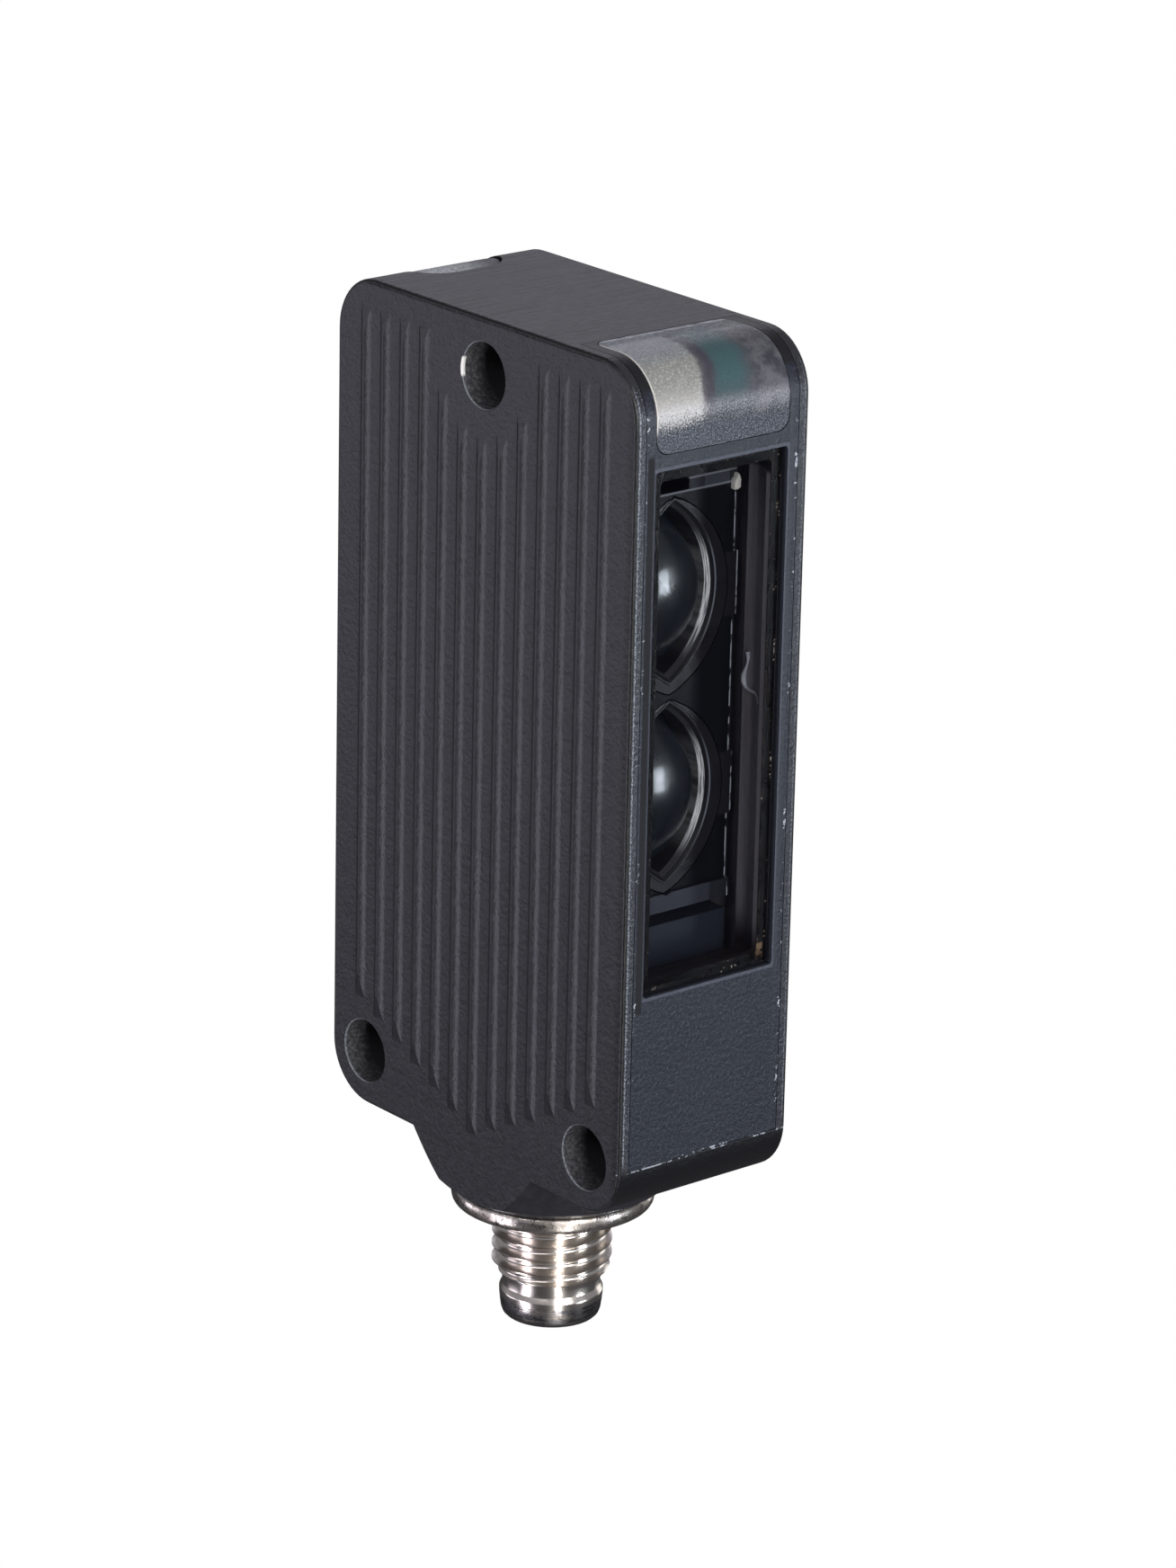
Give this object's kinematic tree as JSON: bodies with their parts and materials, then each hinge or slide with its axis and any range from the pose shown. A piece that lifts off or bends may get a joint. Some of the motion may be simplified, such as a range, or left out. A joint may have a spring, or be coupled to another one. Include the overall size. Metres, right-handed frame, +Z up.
{
  "type": "retroreflective photoelectric sensor",
  "caption": "Slim flat-block photoelectric sensor with ribbed sides, a recessed front window over stacked lenses, a translucent indicator cap, cross holes for mounting and a threaded plug.",
  "frame": {"origin": "on the plug's axis at the lower face of its flange, where the thread begins", "axes": "+Z up along the plug's axis from the plug to the top of the block, -Y towards the optics, X across the two ribbed faces"},
  "size_m": [0.0144, 0.03, 0.0692],
  "materials": {
    "black_paint": "fine textured black paint on die-cast metal, worn bright at some edges",
    "cover_plastic": "semi-matte dark blue-grey plastic, fine grain",
    "frosted_plastic": "frosted translucent plastic",
    "tinted_pane": "clear tinted pane",
    "adhesive": "dark brown speckled adhesive",
    "black_plastic": "black moulded plastic",
    "clear_optic": "clear moulded optic plastic",
    "film": "dark polarising film",
    "led_clear": "clear resin package",
    "led_green": "green tinted resin package",
    "led_yellow": "yellow tinted resin package",
    "chip_black": "black epoxy package",
    "tinplate": "bright tinplate",
    "circuit_board": "green solder mask",
    "cream_plastic": "cream diffusing plastic",
    "teal_plastic": "teal tinted plastic",
    "white_plastic": "white plastic",
    "flex_film": "amber polyimide film",
    "nickel": "bright nickel plating",
    "seal_rubber": "black rubber",
    "gold": "gold plated contacts"
  },
  "bodies": {
    "root": {"housing": "black_paint", "front_cover": "cover_plastic", "indicator_cap": "frosted_plastic", "rear_indicator_window": "frosted_plastic", "window_pane": "tinted_pane", "pane_adhesive": "adhesive", "optic_carrier": "black_plastic", "locating_tab": "white_plastic", "emitter_lens": "clear_optic", "receiver_lens": "clear_optic", "emitter_film": "film", "receiver_film": "film", "emitter_led": "led_clear", "receiver_diode": "chip_black", "receiver_shield": "tinplate", "main_board": "circuit_board", "controller_chip": "chip_black", "display_board": "circuit_board", "green_led": "led_green", "yellow_led": "led_yellow", "light_guide": "cream_plastic", "teal_light_guide": "teal_plastic", "rear_led": "led_clear", "rear_light_pipe": "frosted_plastic", "flex_link": "flex_film", "connector_board": "circuit_board", "connector_shell": "nickel", "connector_seal": "seal_rubber", "contact_carrier": "black_plastic", "contact_pins": "gold"}
  },
  "joints": []
}
